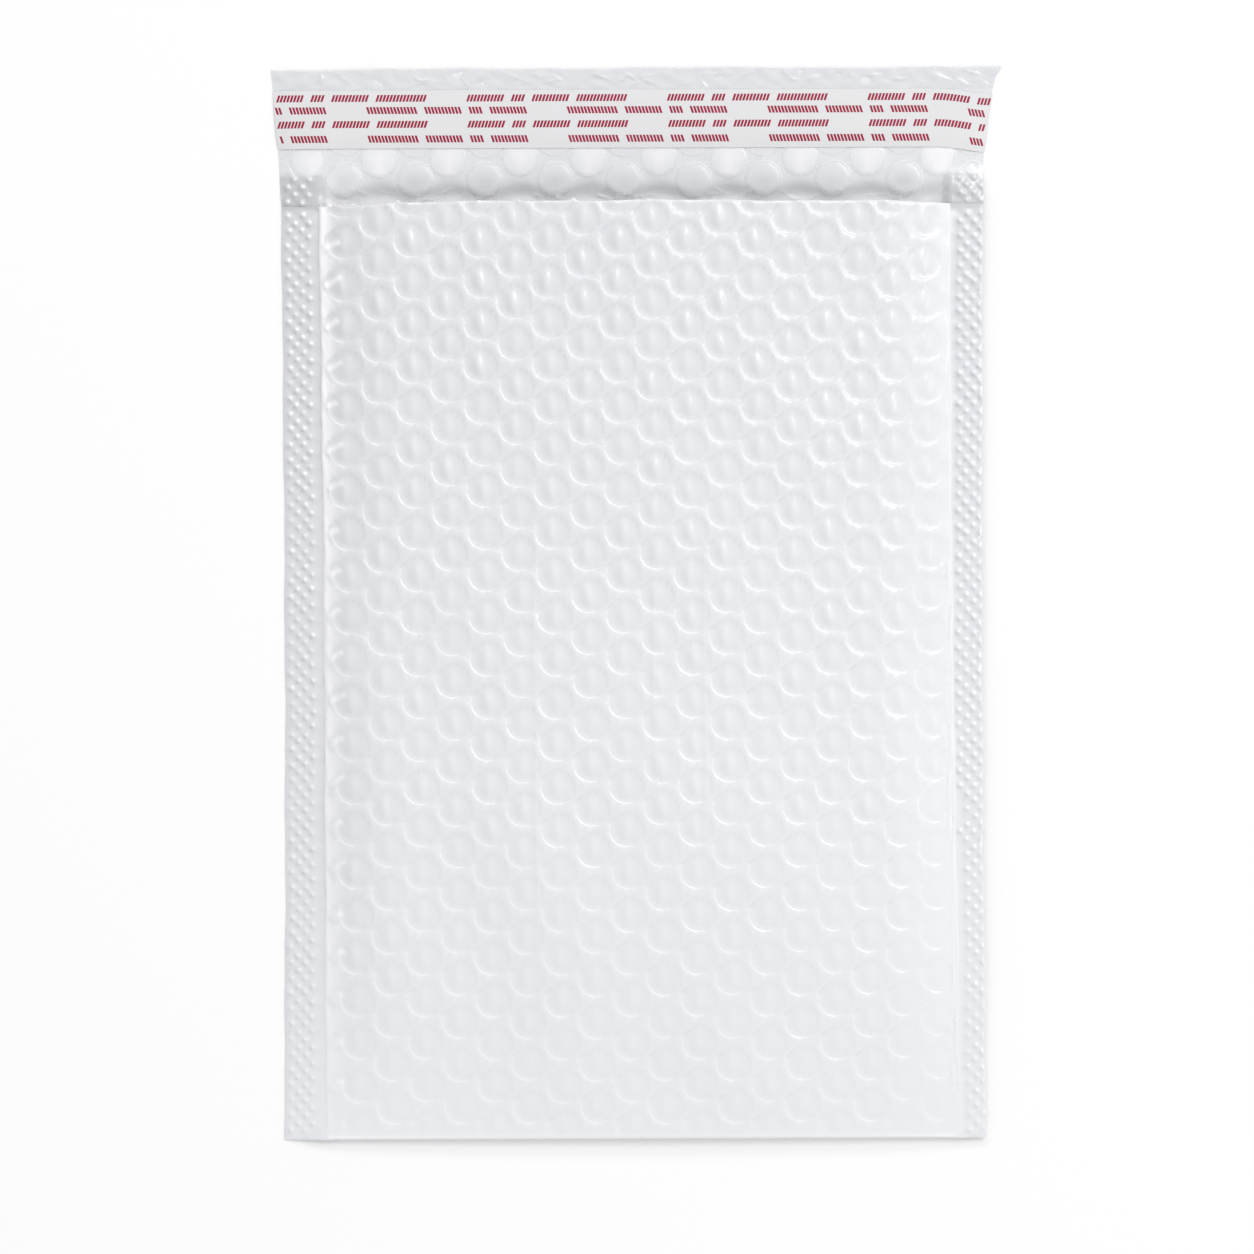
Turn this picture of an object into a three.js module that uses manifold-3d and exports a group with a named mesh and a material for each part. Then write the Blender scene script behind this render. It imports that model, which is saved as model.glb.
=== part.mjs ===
// Padded envelope of white polyethylene film with a bubble lining, lying on its back.
// The film and the lining are one web, folded at the bottom and welded along both sides.
// The back panel runs on past the mouth as an open flap, which carries a band of
// adhesive under a peel-off liner.
// Millimetres: X across the envelope, Y from the bottom fold to the flap, Z up.
import * as THREE from "three";
import { mergeVertices } from "three/addons/utils/BufferGeometryUtils.js";
import Module from "manifold-3d";

const wasm = await Module();
wasm.setup();

// Driving dimensions: the outline
const bodyWidth = 200; // over both side seals, at the bottom fold and at the mouth
const pocketLength = 266.3; // from the bottom fold to the front panel's top edge
const flapLength = 39.2; // from the front panel's top edge to the flap's free edge
const waistPull = 0.6; // how far each side draws in half way up the pocket
const flapFlare = { left: 2.8, right: 4.5 }; // the unsealed flap spreads towards its free edge
const flareBend = { left: 1, right: 2 }; // straight on the left, curved on the right
const sealWidth = {
  left: { bottom: 11.5, mouth: 10.7 },
  right: { bottom: 7.2, mouth: 9.4 },
};

// Driving dimensions: the layers
const filmThickness = 0.15; // outer film with the backing film it is laminated to
const liningThickness = 3.8; // over the bubbles
const flapLiningThickness = 0.6; // the bubbles are pressed flat on the flap
const pocketGap = 5; // between the two linings, in the middle of the pocket
const layerGap = 0.1; // between layers that lie on each other
const sealThickness = 0.8; // four layers pressed and welded
const sealHeight = 2.8; // of a seal's inner edge over the table
const foldHeight = 2.4; // of the bottom fold over the table
const foldEase = 60; // the seals climb from the fold's height to their own over this length
const sealDroop = { left: 2.3, right: 0.6 }; // the seals' cut edges hang down by this much
const foldDroopShare = 0.35; // and by this share of it at the bottom fold, which is stiffer
const adhesiveThickness = 0.2;
const linerThickness = 0.1;

// Driving dimensions: how the pillow rises from the seals and the fold, and the flap from the table
const sideFlank = 20; // the front panel rises steeply from a seal over this width
const sideCrown = 88; // and then eases to its full height, this far from the seal
const sideFlankShare = 0.6; // the share of its height that the flank gives
const foldFlank = 4; // the same three for the bottom fold
const foldCrown = 110;
const foldFlankShare = 0.14;
const backRoll = 6; // the back panel lies on the table from here on
const pocketEase = 22; // the pocket is fully open this far in from the pinched edge at a seal
const pocketInset = 1.5; // the linings are pinched together this far in from seals and fold
const pinch = 0.1; // how far the two linings are pressed into each other there
const flapHump = 1.5; // how high the flap stands over the table past the crease at the mouth
const flapHumpLength = 7; // it rises that far over this length
const flapSettle = 12; // the lift that the seals give it dies out over this length
const flapRoll = 16; // its side edges come down to the table over this width
const flapEaseShare = 0.35; // the share of the flap's length over which its bubbles flatten
const linerSpan = { low: 16.3, high: 33 }; // from the mouth
const adhesiveSpan = { low: 18.8, high: 30.8 }; // from the mouth

// Derived places
const halfWidth = bodyWidth / 2;
const bottomY = -(pocketLength + flapLength) / 2;
const mouthY = bottomY + pocketLength;
const flapY = mouthY + flapLength;
const sideShift = (flapFlare.left - flapFlare.right) / 2; // centres the outline on X
const frontHeight = 2 * (filmThickness + layerGap + liningThickness) + pocketGap;
const cutMargin = 5; // a cutter reaches this far past what it cuts
const mouthBreak = 0.3; // the film's cavity reaches this far through the mouth
const flapBlank = 3; // the flap's thickness before it is cut down to the film

const { lerp, smoothstep } = THREE.MathUtils;
const quarterSine = (share) => Math.sin((Math.PI / 2) * Math.min(Math.max(share, 0), 1));

// How far up the pocket, and how far along the flap, from 0 to 1
const pocketShare = (y) => (y - bottomY) / pocketLength;
const flapShare = (y) => Math.max(0, (y - mouthY) / flapLength);

// The outer cut edge of one side; left is the -X side
function sideEdge(side, y) {
  const sign = side === "left" ? -1 : 1;
  const waist = y < mouthY ? waistPull * Math.sin(Math.PI * pocketShare(y)) : 0;
  const flare = flapFlare[side] * flapShare(y) ** flareBend[side];
  return sideShift + sign * (halfWidth - waist + flare);
}

// The line where the panel leaves its side seal, carried straight on over the flap
function panelEdge(side, y) {
  const sign = side === "left" ? -1 : 1;
  const { bottom, mouth } = sealWidth[side];
  return sideEdge(side, Math.min(y, mouthY)) - sign * lerp(bottom, mouth, pocketShare(y));
}

const fromSeal = (x, y) => Math.min(x - panelEdge("left", y), panelEdge("right", y) - x);
const fromCut = (x, y) => Math.min(x - sideEdge("left", y), sideEdge("right", y) - x);
const fromFold = (y) => y - bottomY;
const foldShareAt = (y) => smoothstep(fromFold(y), 0, foldEase);

// The middle of a seal's thickness along its inner edge, and of the fold between the seals
const sealLevel = (y) => lerp(foldHeight, sealHeight, foldShareAt(y));

// How far a seal, and the flap's edge beyond it, hangs down
function droop(x, y) {
  const side = x < sideShift ? "left" : "right";
  const row = Math.min(y, mouthY);
  const width = Math.abs(sideEdge(side, row) - panelEdge(side, row));
  const share = Math.min(Math.max(-fromSeal(x, y) / width, 0), 1);
  return sealDroop[side] * share * lerp(foldDroopShare, 1, foldShareAt(y));
}

// The outside of the front panel, crowned between the seals and over the bottom fold
function frontFace(x, y) {
  const side = fromSeal(x, y);
  const fold = fromFold(y);
  const sideShare = lerp(quarterSine(side / sideCrown), quarterSine(side / sideFlank), sideFlankShare);
  const foldShare = lerp(quarterSine(fold / foldCrown), quarterSine(fold / foldFlank), foldFlankShare);
  const edge = sealLevel(y) + sealThickness / 2 - droop(x, y);
  return lerp(edge, frontHeight, sideShare * foldShare);
}

// The outside of the back panel and of the flap
function backFace(x, y) {
  const pastMouth = y - mouthY;
  const flat = quarterSine(fromSeal(x, y) / backRoll) * quarterSine(fromFold(y) / backRoll);
  const level = (sealLevel(y) - sealThickness / 2 - droop(x, y)) * (1 - flat);
  const hump = flapHump * smoothstep(pastMouth, 0, flapHumpLength) * quarterSine(fromCut(x, y) / flapRoll);
  return level * (1 - smoothstep(pastMouth, 0, flapSettle)) + hump;
}

// The two faces of the pocket, between the linings: level where it is fully open
function pocketFace(x, y, sign) {
  const side = quarterSine((fromSeal(x, y) - pocketInset) / pocketEase);
  const fold = quarterSine((fromFold(y) - pocketInset) / foldCrown);
  const open = side * fold;
  const middle = lerp((frontFace(x, y) + backFace(x, y)) / 2, frontHeight / 2, open);
  return middle + (sign * lerp(-pinch, pocketGap, open)) / 2;
}

// The inner face of the back lining: the pocket's floor, and then the flap's upper face
const liningFloor = (x, y) => backFace(x, y) + filmThickness + layerGap;
function liningFace(x, y) {
  if (y <= mouthY) return pocketFace(x, y, -1);
  const atMouth = pocketFace(x, mouthY, -1) - liningFloor(x, mouthY);
  const flattened = smoothstep(flapShare(y), 0, flapEaseShare);
  return liningFloor(x, y) + lerp(atMouth, flapLiningThickness, flattened);
}

// Grid lines: columns follow the seals, rows follow the fold, the mouth and the liner
const flankSteps = [0, 1.5, 3, 4.5, backRoll, 8.5, 11.5, 15.5, sideFlank];
const sideSteps = [...flankSteps, pocketEase + pocketInset, 45, sideCrown];
const panelColumns = (y) => [
  ...sideSteps.map((d) => panelEdge("left", y) + d),
  ...sideSteps.toReversed().map((d) => panelEdge("right", y) - d),
];
const webColumns = (y) => [sideEdge("left", y), ...panelColumns(y), sideEdge("right", y)];
const wideColumns = (y) => [
  sideEdge("left", y) - cutMargin,
  ...webColumns(y),
  sideEdge("right", y) + cutMargin,
];
const foldSteps = [0.8, 1.7, 2.8, foldFlank, backRoll, 12, 24, 42, foldEase, foldCrown];
const foldRows = [...foldSteps, foldCrown + pocketInset].map((d) => bottomY + d);
const waistRows = [0.6, 0.8].map((k) => bottomY + k * pocketLength);
const linerRows = [
  linerSpan.low, adhesiveSpan.low, 22.8, 26.8, adhesiveSpan.high, linerSpan.high,
].map((v) => mouthY + v);
const creaseSteps = [1.5, 3, 4.5, flapHumpLength, 9.5, flapSettle];
const flapRows = [...creaseSteps.map((v) => mouthY + v), ...linerRows, mouthY + 35, flapY];
const pocketRows = [...foldRows, ...waistRows, mouthY];

// A closed solid over a grid of columns and rows, between two faces given by height
function gridSolid(columnsAt, rows, lowFace, highFace) {
  const count = columnsAt(rows[0]).length;
  const positions = [];
  for (const face of [lowFace, highFace]) {
    for (const y of rows) for (const x of columnsAt(y)) positions.push(x, y, face(x, y));
  }
  const layer = count * rows.length;
  const at = (level, row, column) => level * layer + row * count + column;
  const triangles = [];
  const quad = (a, b, c, d) => triangles.push(a, b, c, a, c, d);
  for (let r = 0; r + 1 < rows.length; r++) {
    for (let c = 0; c + 1 < count; c++) {
      quad(at(1, r, c), at(1, r, c + 1), at(1, r + 1, c + 1), at(1, r + 1, c));
      quad(at(0, r, c), at(0, r + 1, c), at(0, r + 1, c + 1), at(0, r, c + 1));
    }
    const last = count - 1;
    quad(at(0, r, 0), at(1, r, 0), at(1, r + 1, 0), at(0, r + 1, 0));
    quad(at(0, r, last), at(0, r + 1, last), at(1, r + 1, last), at(1, r, last));
  }
  const top = rows.length - 1;
  for (let c = 0; c + 1 < count; c++) {
    quad(at(0, 0, c), at(0, 0, c + 1), at(1, 0, c + 1), at(1, 0, c));
    quad(at(0, top, c), at(1, top, c), at(1, top, c + 1), at(0, top, c + 1));
  }
  return new THREE.BufferGeometry()
    .setAttribute("position", new THREE.Float32BufferAttribute(positions, 3))
    .setIndex(triangles);
}

// Geometry to a manifold solid and back, for cutting and joining
function toSolid(geometry) {
  const merged = mergeVertices(geometry);
  return new wasm.Manifold(
    new wasm.Mesh({
      numProp: 3,
      vertProperties: merged.attributes.position.array,
      triVerts: new Uint32Array(merged.index.array),
    }),
  );
}
function toGeometry(solid) {
  const { vertProperties, triVerts } = solid.getMesh();
  const geometry = new THREE.BufferGeometry()
    .setAttribute("position", new THREE.BufferAttribute(vertProperties, 3))
    .setIndex(new THREE.BufferAttribute(triVerts, 1));
  geometry.computeVertexNormals();
  return geometry;
}

// Outer film: the whole pillow and flap, less the room for the lining and what is over the flap
function outerFilm() {
  const webTop = (x, y) => (y <= mouthY ? frontFace(x, y) : backFace(x, y) + flapBlank);
  const web = gridSolid(webColumns, [bottomY, ...pocketRows, ...flapRows], backFace, webTop);
  const insideLow = (x, y) => backFace(x, y) + filmThickness + (y > mouthY ? layerGap : 0);
  const insideHigh = (x, y) => frontFace(x, y) - filmThickness;
  const insideRows = [bottomY + filmThickness, ...pocketRows, mouthY + mouthBreak];
  const inside = gridSolid(panelColumns, insideRows, insideLow, insideHigh);
  const overFlap = gridSolid(
    wideColumns,
    [mouthY, ...flapRows, flapY + cutMargin],
    (x, y) => backFace(x, y) + filmThickness,
    () => frontHeight + cutMargin,
  );
  return toGeometry(toSolid(web).subtract(toSolid(inside)).subtract(toSolid(overFlap)));
}

// Bubble lining: a back layer that runs out over the flap and a front layer that ends at the
// mouth, pinched together along the fold and the seals, and cut off where the seals begin
function bubbleLining() {
  const foldRow = bottomY + filmThickness + layerGap;
  const back = gridSolid(webColumns, [foldRow, ...pocketRows, ...flapRows], liningFloor, liningFace);
  const front = gridSolid(
    panelColumns,
    [foldRow, ...pocketRows],
    (x, y) => pocketFace(x, y, 1),
    (x, y) => frontFace(x, y) - filmThickness - layerGap,
  );
  const sealRows = [bottomY - cutMargin, ...pocketRows.slice(0, -1), mouthY + layerGap];
  const sealRoom = (columns) => gridSolid(columns, sealRows, () => -cutMargin, () => frontHeight);
  const leftSeal = sealRoom((y) => [sideEdge("left", y) - cutMargin, panelEdge("left", y) + layerGap]);
  const rightSeal = sealRoom((y) => [panelEdge("right", y) - layerGap, sideEdge("right", y) + cutMargin]);
  return toGeometry(
    toSolid(back).add(toSolid(front)).subtract(toSolid(leftSeal)).subtract(toSolid(rightSeal)),
  );
}

// A strip that lies across the whole flap, at a height over the flap's lining
function flapStrip(rows, height, thickness) {
  return gridSolid(
    webColumns,
    rows,
    (x, y) => liningFace(x, y) + height,
    (x, y) => liningFace(x, y) + height + thickness,
  );
}

const materials = {
  film: new THREE.MeshStandardMaterial({ color: "#e6e8ec", roughness: 0.32, metalness: 0 }),
  lining: new THREE.MeshStandardMaterial({ color: "#e2e4e8", roughness: 0.22, metalness: 0 }),
  adhesive: new THREE.MeshStandardMaterial({ color: "#d9d6c8", roughness: 0.5, metalness: 0 }),
  liner: new THREE.MeshStandardMaterial({ color: "#e4e5e8", roughness: 0.4, metalness: 0 }),
};

const envelope = new THREE.Group();
function addPiece(name, geometry, material) {
  const piece = new THREE.Mesh(geometry, material);
  piece.name = name;
  envelope.add(piece);
}
const linerHeight = layerGap + adhesiveThickness + layerGap;
addPiece("outer_film", outerFilm(), materials.film);
addPiece("bubble_lining", bubbleLining(), materials.lining);
addPiece(
  "adhesive_strip",
  flapStrip(linerRows.slice(1, -1), layerGap, adhesiveThickness),
  materials.adhesive,
);
addPiece("release_liner", flapStrip(linerRows, linerHeight, linerThickness), materials.liner);

export default envelope;
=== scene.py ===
import math

import bmesh
import bpy
import numpy as np
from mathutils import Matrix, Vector
from mathutils.geometry import delaunay_2d_cdt
from mathutils.kdtree import KDTree


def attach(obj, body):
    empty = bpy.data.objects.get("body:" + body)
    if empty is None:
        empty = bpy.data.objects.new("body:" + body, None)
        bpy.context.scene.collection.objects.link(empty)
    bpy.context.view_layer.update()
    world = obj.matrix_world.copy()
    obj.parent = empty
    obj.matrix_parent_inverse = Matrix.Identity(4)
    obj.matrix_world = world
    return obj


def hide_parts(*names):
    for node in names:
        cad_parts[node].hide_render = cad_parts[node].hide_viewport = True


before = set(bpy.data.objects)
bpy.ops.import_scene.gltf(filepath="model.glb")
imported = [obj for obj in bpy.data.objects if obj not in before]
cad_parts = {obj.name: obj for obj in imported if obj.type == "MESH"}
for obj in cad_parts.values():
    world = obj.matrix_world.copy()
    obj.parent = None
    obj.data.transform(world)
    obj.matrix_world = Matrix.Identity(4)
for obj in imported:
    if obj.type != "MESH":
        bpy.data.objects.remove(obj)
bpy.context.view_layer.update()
print("frame loaded:", ", ".join(sorted(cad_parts)))

mm = 0.001  # lengths below are in millimetres, and meshes are made in metres

# The outline and the pillow: x across, y to the flap, z up
envelope = {
    "bodyWidth": 200.0,
    "pocketLength": 266.3,
    "flapLength": 39.2,
    "waistPull": 0.6,
    "flare": {-1: 2.8, 1: 4.5},  # left, right
    "flareBend": {-1: 1.0, 1: 2.0},
    "sealWidth": {-1: (11.5, 10.7), 1: (7.2, 9.4)},  # at the bottom, at the mouth
    "sealHeight": 2.8,
    "foldHeight": 1.7,
    "foldEase": 60.0,  # the seals climb from the fold to their own height over this length
    "sealThickness": 0.25,
    "edgeRoll": 0.35,  # the width over which front and back part at a cut edge
    "sealDroop": {-1: 2.6, 1: 0.6},  # the cut edges hang down towards the table
    "foldDroopShare": 0.55,
    "frontHeight": 13.1,
    "sideRise": [(0.01, 0.5), (0.39, 22.0), (0.6, 88.0)],  # share of the height, and over what width
    "foldRise": [(0.12, 0.8), (0.88, 110.0)],
    "backRoll": 6.0,
    "backLevel": 0.06,  # the film's own thickness over the table
    "flapHump": 1.1,  # past the crease at the mouth
    "flapHumpStart": 1.3,
    "flapHumpLength": 5.0,
    "freeEdgeShare": 0.3,  # of the hump, left at the free edge
    "freeEdgeFall": (14.0, 38.0),  # from the mouth, where it sinks to that
    "creaseWave": 1.5,  # the crease runs in and out between the bubbles of the lining
    "creasePitch": 19.9,
    "creaseStart": -82.65,
    "flapSettle": 12.0,
    "flapRoll": 16.0,
    "cornerTag": (1.3, 4.0),  # width and length, where the knife lifted at the free edge's right end
    "edgeWobble": 0.12,  # a knife-cut edge of film is never quite straight
    "wobbleLengths": (8.3, 3.1),
}
bottomY = -(envelope["pocketLength"] + envelope["flapLength"]) / 2
mouthY = bottomY + envelope["pocketLength"]
flapY = mouthY + envelope["flapLength"]
centreX = (envelope["flare"][-1] - envelope["flare"][1]) / 2
halfWidth = envelope["bodyWidth"] / 2
halfSeal = envelope["sealThickness"] / 2


def smooth(low, high, v):
    t = np.clip((v - low) / (high - low), 0.0, 1.0)
    return t * t * (3 - 2 * t)


def mix(a, b, t):
    return a + (b - a) * t


def bell(v):
    return np.exp(-(v ** 2))


def quarterSine(share):
    return np.sin(np.pi / 2 * np.clip(share, 0.0, 1.0))


# A few plane waves of one size, for a surface that is never quite even
def ripple(x, y, size, seed, waves=7):
    rng = np.random.RandomState(seed)
    total = 0.0
    for _ in range(waves):
        angle = rng.uniform(0, math.tau)
        length = size * rng.uniform(0.7, 1.5)
        along = (x * math.cos(angle) + y * math.sin(angle)) * math.tau / length
        total = total + np.sin(along + rng.uniform(0, math.tau))
    return total / math.sqrt(waves)


def flapShare(y):
    return np.clip((y - mouthY) / envelope["flapLength"], 0.0, 1.0)


def pocketShare(y):
    return np.clip((y - bottomY) / envelope["pocketLength"], 0.0, 1.0)


def sideEdge(sign, y):
    y = np.asarray(y, float)
    waist = envelope["waistPull"] * np.sin(np.pi * pocketShare(y))
    long, short = envelope["wobbleLengths"]
    wobble = envelope["edgeWobble"] * (np.sin(y / long + sign) + 0.6 * np.sin(y / short + 2 * sign))
    flare = envelope["flare"][sign] * flapShare(y) ** envelope["flareBend"][sign]
    tagWidth, tagLength = envelope["cornerTag"]
    tag = tagWidth * smooth(flapY - tagLength, flapY, y) ** 2 if sign > 0 else 0.0
    return centreX + sign * (halfWidth - waist + flare) + wobble + tag


# The line where a panel leaves its weld, carried on over the flap
def panelEdge(sign, y):
    y = np.asarray(y, float)
    bottom, mouth = envelope["sealWidth"][sign]
    share = (y - bottomY) / envelope["pocketLength"]
    return sideEdge(sign, np.minimum(y, mouthY)) - sign * mix(bottom, mouth, share)


def fromPanelEdge(x, y):
    return np.minimum(x - panelEdge(-1, y), panelEdge(1, y) - x)


def fromCut(x, y):
    return np.minimum(x - sideEdge(-1, y), sideEdge(1, y) - x)


def rising(distance, steps):
    return sum(share * quarterSine(distance / width) for share, width in steps)


# The cut edges of the seals and the bottom fold, where front and back come together
def edgeRoll(x, y):
    width = envelope["edgeRoll"]
    return smooth(0.0, width, fromCut(x, y)) * smooth(0.0, width, y - bottomY)


def foldShare(y):
    return smooth(0.0, envelope["foldEase"], y - bottomY)


# The middle of a seal along its inner edge, and of the fold between the seals
def sealLevel(y):
    return mix(envelope["foldHeight"], envelope["sealHeight"], foldShare(y))


def droop(x, y):
    row = np.minimum(y, mouthY)
    left = x < centreX
    width = np.where(left, panelEdge(-1, row) - sideEdge(-1, row), sideEdge(1, row) - panelEdge(1, row))
    most = np.where(left, envelope["sealDroop"][-1], envelope["sealDroop"][1])
    stiff = mix(envelope["foldDroopShare"], 1.0, foldShare(y))
    return most * stiff * np.clip(-fromPanelEdge(x, y) / width, 0.0, 1.0)


def frontFace(x, y):
    low = sealLevel(y) + halfSeal * edgeRoll(x, y) - droop(x, y)
    share = rising(fromPanelEdge(x, y), envelope["sideRise"]) * rising(y - bottomY, envelope["foldRise"])
    return mix(low, envelope["frontHeight"], share)


# 1 at each bubble beside the crease, -1 between two
def creaseTurn(x):
    return np.cos((x - envelope["creaseStart"]) * math.tau / envelope["creasePitch"])


def backFace(x, y):
    past = y - mouthY
    low = sealLevel(y) - halfSeal * edgeRoll(x, np.minimum(y, mouthY)) - droop(x, y)
    flat = quarterSine(fromPanelEdge(x, y) / envelope["backRoll"])
    flat = flat * quarterSine((y - bottomY) / envelope["backRoll"])
    lead = envelope["creaseWave"] * creaseTurn(x)
    climbed = (past + lead - envelope["flapHumpStart"]) / envelope["flapHumpLength"]
    hump = envelope["flapHump"] * smooth(0.0, 1.0, climbed)
    hump = hump * quarterSine(fromCut(x, y) / envelope["flapRoll"])
    hump = hump * mix(1.0, envelope["freeEdgeShare"], smooth(*envelope["freeEdgeFall"], past))
    settled = smooth(0.0, envelope["flapSettle"], past)
    low = low * (1 - flat) * (1 - settled)
    return low + hump + envelope["backLevel"] * np.maximum(flat, settled)


# Bubble lattices: upright columns, every other one half a row lower
bubbles = {
    "columns": range(-12, 24),  # from the origin; more than the web holds
    "halfRows": range(-14, 60),
    "front": {
        "origin": (-44.0, 90.87),
        "column": 9.71,
        "halfRow": 5.86,
        "stretch": 0.0036,  # rows draw apart towards the bottom
        "lean": 0.089,  # sideways, for each half row down
        "jitter": 0.16,
    },
    "back": {
        "origin": (-72.7, 126.9),
        "column": 9.95,
        "halfRow": 5.95,
        "stretch": 0.0,
        "lean": 0.0,
        "jitter": 0.2,
    },
}


def lattice(name, seed):
    plan = bubbles[name]
    rng = np.random.RandomState(seed)
    found = []
    for column in bubbles["columns"]:
        for row in bubbles["halfRows"]:
            if (column + row) % 2:
                continue
            down = plan["halfRow"] * row + plan["stretch"] * row * abs(row)
            x = plan["origin"][0] + plan["column"] * column + plan["lean"] * row
            y = plan["origin"][1] - down
            shift = rng.normal(0.0, plan["jitter"], 2)
            found.append((x + shift[0], y + shift[1]))
    return np.array(found)


# Nearest bubble of each point: its number and the way from its centre
def nearest(centres, x, y):
    tree = KDTree(len(centres))
    for number, (cx, cy) in enumerate(centres):
        tree.insert((cx, cy, 0.0), number)
    tree.balance()
    numbers = np.array([tree.find((px, py, 0.0))[1] for px, py in zip(x, y)], int)
    return numbers, x - centres[numbers, 0], y - centres[numbers, 1]


# Points about each centre, at the same offsets from all of them
def around(centres, offsets):
    return (centres[:, None, :] + offsets[None, :, :]).reshape(-1, 2)


# Each centre and rings of points about it: so many on each, or at the angles given
def rings(centres, radii, counts):
    found = [centres]
    for radius, count in zip(radii, counts):
        angles = np.arange(count) * math.tau / count if np.isscalar(count) else np.radians(count)
        found.append(around(centres, radius * np.stack([np.cos(angles), np.sin(angles)], 1)))
    return np.concatenate(found)


def gridPoints(columns, rows):
    x, y = np.meshgrid(columns, rows)
    return np.stack([x.ravel(), y.ravel()], 1)


# Points in order of rank, less those too near one that is already in
def thinOut(groups, gap):
    cells = {}
    kept = []
    for points in groups:
        for x, y in points:
            column, row = int(x // gap), int(y // gap)
            near = [
                p
                for i in (column - 1, column, column + 1)
                for j in (row - 1, row, row + 1)
                for p in cells.get((i, j), ())
            ]
            if any((x - px) ** 2 + (y - py) ** 2 < gap * gap for px, py in near):
                continue
            cells.setdefault((column, row), []).append((x, y))
            kept.append((x, y))
    return np.array(kept)


# Triangles over a flat cut: its outline, lines that edges must follow, loose points and printed shapes
def triangulate(outline, lines, loose, shapes=()):
    points = [Vector(p) for p in outline]
    faces = [list(range(len(outline)))]
    edges = []
    for line in lines:
        first = len(points)
        points.extend(Vector(p) for p in line)
        edges.extend((i, i + 1) for i in range(first, len(points) - 1))
    for shape in shapes:
        first = len(points)
        points.extend(Vector(p) for p in shape)
        faces.append(list(range(first, len(points))))
    points.extend(Vector(p) for p in loose)
    made = delaunay_2d_cdt(points, edges, faces, 1, 1e-5)
    flat = np.array([(v.x, v.y) for v in made[0]])
    return flat, [list(f) for f in made[2]], made[5]


# The same, lifted to its heights, and with its faces turned down for a lower side
def cutSheet(outline, lines, loose, height, faceDown=False):
    flat, faces, _ = triangulate(outline, lines, loose)
    points = np.column_stack([flat, height(flat[:, 0], flat[:, 1])])
    return points, [f[::-1] for f in faces] if faceDown else faces


def addObject(name, data):
    thing = bpy.data.objects.new(name, data)
    bpy.context.scene.collection.objects.link(thing)
    return thing


def meshPiece(name, points, faces):
    mesh = bpy.data.meshes.new(name)
    mesh.from_pydata([tuple(p) for p in points * mm], [], faces)
    mesh.update()
    mesh.shade_smooth()
    return addObject(name, mesh)


# Two sheets of points and faces as one, sewn where their edges lie on each other
def sew(name, sheets):
    points = np.concatenate([p for p, _ in sheets])
    faces = []
    first = 0
    for sheetPoints, sheetFaces in sheets:
        faces.extend([[first + i for i in f] for f in sheetFaces])
        first += len(sheetPoints)
    piece = meshPiece(name, points, faces)
    edit = bmesh.new()
    edit.from_mesh(piece.data)
    bmesh.ops.remove_doubles(edit, verts=edit.verts, dist=0.004 * mm)
    edit.to_mesh(piece.data)
    edit.free()
    piece.data.shade_smooth()
    piece.data.set_sharp_from_angle(angle=math.radians(100))  # the cut edges and the fold stay crisp
    return piece


def markPoints(piece, name, values):
    values = np.asarray(values, np.float32)
    piece.data.attributes.new(name, "FLOAT", "POINT").data.foreach_set("value", values)


def pointsOf(piece):
    flat = np.zeros(len(piece.data.vertices) * 3)
    piece.data.vertices.foreach_get("co", flat)
    return flat.reshape(-1, 3) / mm


# Welding dots: a square lattice turned by 45 degrees, pressed into both seals
sealDots = {
    "seed": 31,
    "firstColumn": {-1: 1.8, 1: 0.7},  # from the cut edge
    "columnPitch": 2.0,
    "columns": 4,
    "rowPitch": 4.35,
    "jitter": (0.12, 0.16),  # across and along the seal
    "panelGap": 1.2,  # none nearer to the panel than this
    "radius": 1.3,
    "height": 0.85,
    "heightSpread": (0.7, 1.15),
    "fade": (0.4, 1.0),  # how well they were pressed at the bottom and at the mouth
    "shine": (0.38, 0.3, 1.05),  # right and up from the middle, and radius, of the painted highlight on each dot
    "shineSpread": (0.35, 1.0),
    "shineFade": (0.55, 1.0),
    "tail": 9.2,  # how far the welding bar reached past the mouth
    "tailFray": 1.6,
}


def dotCentres(sign, low, high):
    rng = np.random.RandomState(sealDots["seed"] + sign)
    aside, along = sealDots["jitter"]
    found = []
    for column in range(sealDots["columns"]):
        inset = sealDots["firstColumn"][sign] + column * sealDots["columnPitch"]
        shift = 0.5 * sealDots["rowPitch"] * (column % 2)
        for y in np.arange(low + shift, high, sealDots["rowPitch"]):
            x = float(sideEdge(sign, min(y, mouthY))) - sign * inset + rng.normal(0.0, aside)
            toPanel = sign * (x - float(panelEdge(sign, y)))
            if toPanel > sealDots["panelGap"]:
                found.append((x, y + rng.normal(0.0, along)))
    return np.array(found)


# A value for each dot, spread over it as a soft round bump
def dotShape(centres, x, y, values, radius, right=0.0, up=0.0):
    numbers, dx, dy = nearest(centres, x, y)
    share = np.clip(np.hypot(dx - right, dy - up) / radius, 0.0, 1.0)
    return values[numbers] * (1 - share ** 2) ** 2


def dotBumps(centres, x, y):
    rng = np.random.RandomState(sealDots["seed"] + 6)
    heights = sealDots["height"] * rng.uniform(*sealDots["heightSpread"], len(centres))
    heights = heights * mix(*sealDots["fade"], pocketShare(centres[:, 1]))
    return dotShape(centres, x, y, heights, sealDots["radius"])


# How strongly the painted highlight on the upper right of a dot shows
def dotHighlights(centres, x, y):
    rng = np.random.RandomState(sealDots["seed"] + 10)
    strength = rng.uniform(*sealDots["shineSpread"], len(centres))
    strength = strength * mix(*sealDots["shineFade"], pocketShare(centres[:, 1]))
    right, up, radius = sealDots["shine"]
    return dotShape(centres, x, y, strength, radius, right, up)


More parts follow.
